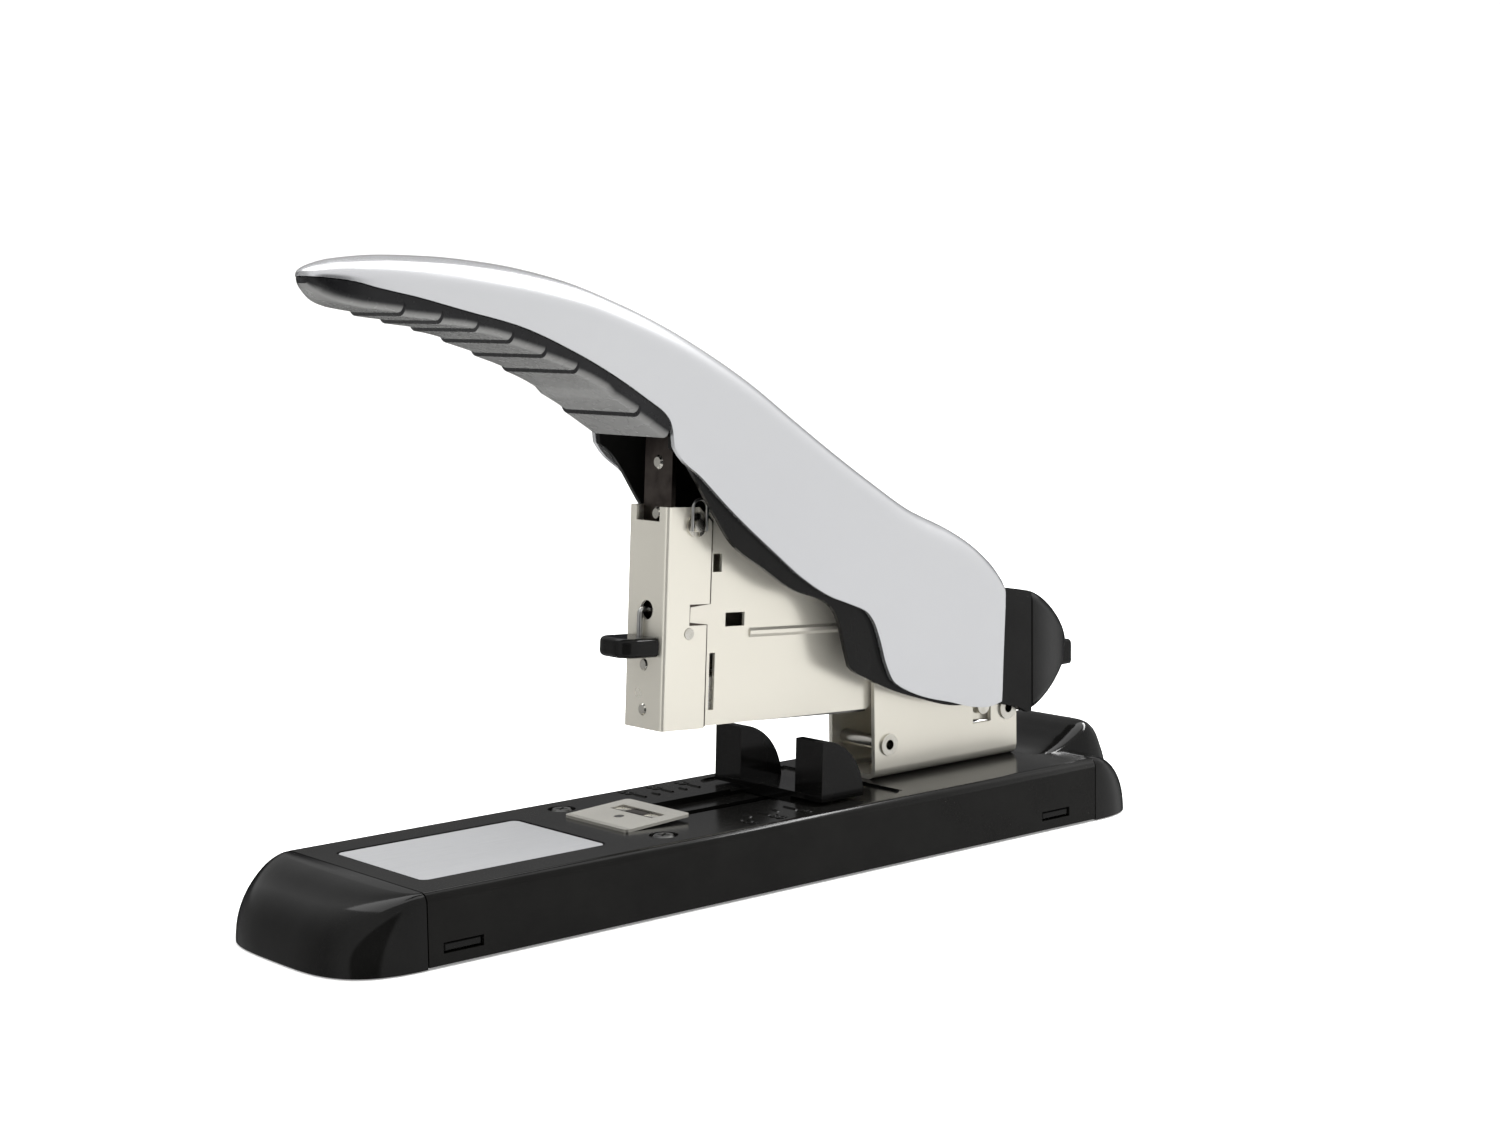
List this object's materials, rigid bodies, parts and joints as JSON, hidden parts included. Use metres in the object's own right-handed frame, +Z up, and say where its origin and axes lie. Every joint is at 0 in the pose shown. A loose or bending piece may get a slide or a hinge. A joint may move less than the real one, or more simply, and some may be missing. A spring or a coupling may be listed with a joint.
{
  "type": "stapler",
  "caption": "Heavy-duty long-reach stapler: folded black base, sliding paper guide, nickel head, rear-loading magazine, long silver handle",
  "frame": {"origin": "middle of the footprint, on the table", "axes": "+X from the nose to the hinge end, +Y to the side, +Z up"},
  "size_m": [0.292, 0.0674, 0.1747],
  "materials": {
    "base_steel": "gloss black enamel on folded steel",
    "base_plastic": "polished black moulding",
    "cover_plastic": "plain black moulding",
    "label": "plain silver panel with no lettering",
    "rubber": "soft black rubber",
    "screw_steel": "zinc-plated",
    "anvil_steel": "bright nickel plate",
    "nickel": "satin nickel plate, slightly warm",
    "rivet_steel": "bright steel",
    "inner_steel": "plain zinc-plated steel",
    "staple_wire": "galvanised wire",
    "spring_steel": "spring wire",
    "driver_steel": "dark hardened steel",
    "guide_plastic": "polished black moulding",
    "housing_plastic": "polished black moulding",
    "silver_shell": "satin silver metallic paint",
    "liner_plastic": "black moulding",
    "grip_plastic": "black moulding with ribs"
  },
  "bodies": {
    "base": {"base_channel": "base_steel", "front_end_cap": "base_plastic", "rear_end_cap": "base_plastic", "label_plate": "label", "bottom_cover": "cover_plastic", "rubber_feet": "rubber", "base_screws": "screw_steel", "anvil_plate": "anvil_steel", "anvil_rivet": "screw_steel", "pivot_bracket": "nickel", "bracket_front_pin": "rivet_steel", "head_pivot_pin": "rivet_steel", "bracket_rivets": "rivet_steel"},
    "guide": {"paper_guide": "guide_plastic", "guide_retainer": "cover_plastic", "guide_screw": "screw_steel"},
    "head": {"front_sleeve": "nickel", "magazine_frame": "nickel", "magazine_core": "inner_steel", "core_rivets": "rivet_steel", "staple_strip": "staple_wire", "sleeve_rivets": "rivet_steel", "blade_guide": "inner_steel", "side_pins": "rivet_steel", "retaining_rings": "rivet_steel", "spring_loops": "spring_steel", "rear_housing": "housing_plastic", "head_spring": "spring_steel", "handle_spring": "spring_steel"},
    "driver": {"driver_blade": "driver_steel", "driver_link": "driver_steel", "driver_rivets": "rivet_steel"},
    "release_lever": {"release_stem": "spring_steel", "release_knob": "housing_plastic"},
    "loader": {"loader_cover": "housing_plastic", "loader_plate": "inner_steel", "pusher_rod": "rivet_steel", "pusher_spring": "spring_steel"},
    "pusher": {"staple_pusher": "housing_plastic"},
    "latch": {"latch_button": "housing_plastic"},
    "handle": {"handle_shell": "silver_shell", "handle_liner": "liner_plastic", "grip_underside": "grip_plastic", "handle_lever": "inner_steel", "handle_pin": "rivet_steel"}
  },
  "joints": [
    {"name": "head_hinge", "type": "hinge", "parent": "base", "child": "head", "pos_m": [0.1065, 0, 0.0342], "axis": [0, -1, 0], "range_deg": [0, 9.2], "stiffness_Nm_per_rad": 2.4, "springref_deg": -20.05},
    {"name": "handle_press", "type": "hinge", "parent": "head", "child": "handle", "pos_m": [0.096, 0, 0.036], "axis": [0, -1, 0], "range_deg": [0, 9], "stiffness_Nm_per_rad": 1.6, "springref_deg": -14.32, "deforming": ["handle_spring"]},
    {"name": "driver_slide", "type": "slide", "parent": "head", "child": "driver", "axis": [-0.0611, 0, -0.9981], "range_m": [0, 0.0176]},
    {"name": "release_swing", "type": "hinge", "parent": "head", "child": "release_lever", "pos_m": [-0.02495, 0.0009, 0.0767], "axis": [0, 1, 0], "range_deg": [0, 25], "stiffness_Nm_per_rad": 0.02, "springref_deg": -17.19},
    {"name": "loader_slide", "type": "slide", "parent": "head", "child": "loader", "axis": [0.9981, 0, -0.0611], "range_m": [0, 0.09]},
    {"name": "pusher_slide", "type": "slide", "parent": "loader", "child": "pusher", "axis": [0.9981, 0, -0.0611], "range_m": [0, 0.03], "stiffness_N_per_m": 20, "springref_m": -0.04, "deforming": ["pusher_spring"]},
    {"name": "latch_press", "type": "slide", "parent": "loader", "child": "latch", "axis": [-1, 0, 0], "range_m": [0, 0.002], "stiffness_N_per_m": 300, "springref_m": -0.002},
    {"name": "guide_slide", "type": "slide", "parent": "base", "child": "guide", "axis": [1, 0, 0], "range_m": [-0.03, 0.004]}
  ],
  "couplings": [
    {"joint": "driver_slide", "follows": "handle_press", "m_per_rad": 0.1108}
  ]
}
